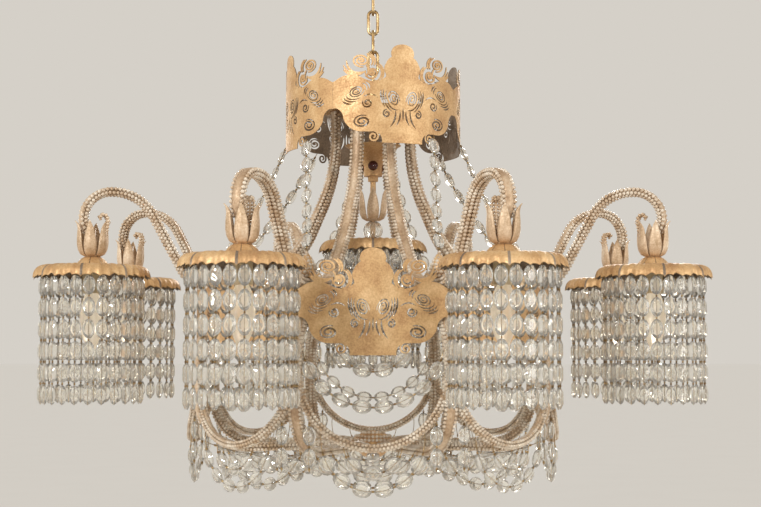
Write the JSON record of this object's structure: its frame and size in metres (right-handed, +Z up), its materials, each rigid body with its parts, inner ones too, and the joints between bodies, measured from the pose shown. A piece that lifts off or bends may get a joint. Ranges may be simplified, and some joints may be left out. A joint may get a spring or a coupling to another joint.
{
  "type": "crystal chandelier",
  "caption": "Hanging chandelier with a pierced crown, beaded S-shaped arms, crystal shades over a pierced ring, and a beaded basket with oval-crystal swags.",
  "frame": {"origin": "middle of the ceiling plate's top face, where the object meets the ceiling", "axes": "+Z up into the ceiling; -Y is the pictured front; arms stand 22.5 degrees off the front and every 45 degrees"},
  "size_m": [1.0054, 1.0054, 0.8403],
  "materials": {
    "gilt": "antique gold leaf, satin",
    "gilt_chain": "aged, satin",
    "crystal": "clear, cut and polished",
    "bulb_glass": "frosted, warm",
    "dark_glass": "polished",
    "black_plastic": "gloss",
    "ivory_plastic": "satin"
  },
  "bodies": {
    "ceiling": {"ceiling_plate": "gilt_chain", "ceiling_hook": "gilt_chain"},
    "link_1": {"chain_link_1": "gilt_chain"},
    "link_2": {"chain_link_2": "gilt_chain"},
    "link_3": {"chain_link_3": "gilt_chain"},
    "link_4": {"chain_link_4": "gilt_chain"},
    "chandelier": {"stem_tube": "gilt", "stem_nuts": "gilt", "arm_hub": "gilt", "crown_bracket": "gilt", "stem_cup": "gilt", "crown_panels": "gilt", "ring_panels": "gilt", "ring_spacers": "gilt", "arm_1": "gilt", "arm_2": "gilt", "arm_3": "gilt", "arm_4": "gilt", "arm_5": "gilt", "arm_6": "gilt", "arm_7": "gilt", "arm_8": "gilt", "arm_buds": "gilt", "tulips": "gilt", "canopies": "gilt", "basket_ribs": "gilt", "basket_hoops": "gilt", "basket_boss": "gilt", "top_loop": "gilt_chain", "centre_ball": "crystal", "crown_strands": "crystal", "ring_swags": "crystal", "band_swags": "crystal", "hoop_outer_swags": "crystal", "hoop_inner_swags": "crystal", "hoop_drops": "crystal", "bowl_strands": "crystal", "curtain_centre": "crystal", "curtain_1": "crystal", "curtain_2": "crystal", "curtain_3": "crystal", "curtain_4": "crystal", "curtain_5": "crystal", "curtain_6": "crystal", "curtain_7": "crystal", "curtain_8": "crystal", "cup_gems": "dark_glass", "cord_gland": "black_plastic", "lamp_holders": "ivory_plastic"},
    "bulb_1": {"bulb_1": "bulb_glass"},
    "bulb_2": {"bulb_2": "bulb_glass"},
    "bulb_3": {"bulb_3": "bulb_glass"},
    "bulb_4": {"bulb_4": "bulb_glass"},
    "bulb_5": {"bulb_5": "bulb_glass"},
    "bulb_6": {"bulb_6": "bulb_glass"},
    "bulb_7": {"bulb_7": "bulb_glass"},
    "bulb_8": {"bulb_8": "bulb_glass"},
    "bulb_centre": {"bulb_centre": "bulb_glass"}
  },
  "joints": [
    {"name": "hook_to_link_1", "type": "hinge", "parent": "ceiling", "child": "link_1", "pos_m": [0, 0, -0.05815], "axis": [0, 0, 1], "range_deg": [-20, 20]},
    {"name": "link_1_to_link_2", "type": "hinge", "parent": "link_1", "child": "link_2", "pos_m": [0, 0, -0.09065], "axis": [0, 1, 0], "range_deg": [-25, 25]},
    {"name": "link_2_to_link_3", "type": "hinge", "parent": "link_2", "child": "link_3", "pos_m": [0, 0, -0.12365], "axis": [1, 0, 0], "range_deg": [-25, 25]},
    {"name": "link_3_to_link_4", "type": "hinge", "parent": "link_3", "child": "link_4", "pos_m": [0, 0, -0.15665], "axis": [0, 1, 0], "range_deg": [-25, 25]},
    {"name": "link_4_to_chandelier", "type": "hinge", "parent": "link_4", "child": "chandelier", "pos_m": [0, 0, -0.18965], "axis": [1, 0, 0], "range_deg": [-25, 25]},
    {"name": "bulb_1_unscrew", "type": "slide", "parent": "chandelier", "child": "bulb_1", "axis": [0, 0, -1], "range_m": [0, 0.06]},
    {"name": "bulb_2_unscrew", "type": "slide", "parent": "chandelier", "child": "bulb_2", "axis": [0, 0, -1], "range_m": [0, 0.06]},
    {"name": "bulb_3_unscrew", "type": "slide", "parent": "chandelier", "child": "bulb_3", "axis": [0, 0, -1], "range_m": [0, 0.06]},
    {"name": "bulb_4_unscrew", "type": "slide", "parent": "chandelier", "child": "bulb_4", "axis": [0, 0, -1], "range_m": [0, 0.06]},
    {"name": "bulb_5_unscrew", "type": "slide", "parent": "chandelier", "child": "bulb_5", "axis": [0, 0, -1], "range_m": [0, 0.06]},
    {"name": "bulb_6_unscrew", "type": "slide", "parent": "chandelier", "child": "bulb_6", "axis": [0, 0, -1], "range_m": [0, 0.06]},
    {"name": "bulb_7_unscrew", "type": "slide", "parent": "chandelier", "child": "bulb_7", "axis": [0, 0, -1], "range_m": [0, 0.06]},
    {"name": "bulb_8_unscrew", "type": "slide", "parent": "chandelier", "child": "bulb_8", "axis": [0, 0, -1], "range_m": [0, 0.06]},
    {"name": "bulb_centre_unscrew", "type": "slide", "parent": "chandelier", "child": "bulb_centre", "axis": [0, 0, -1], "range_m": [0, 0.06]}
  ]
}
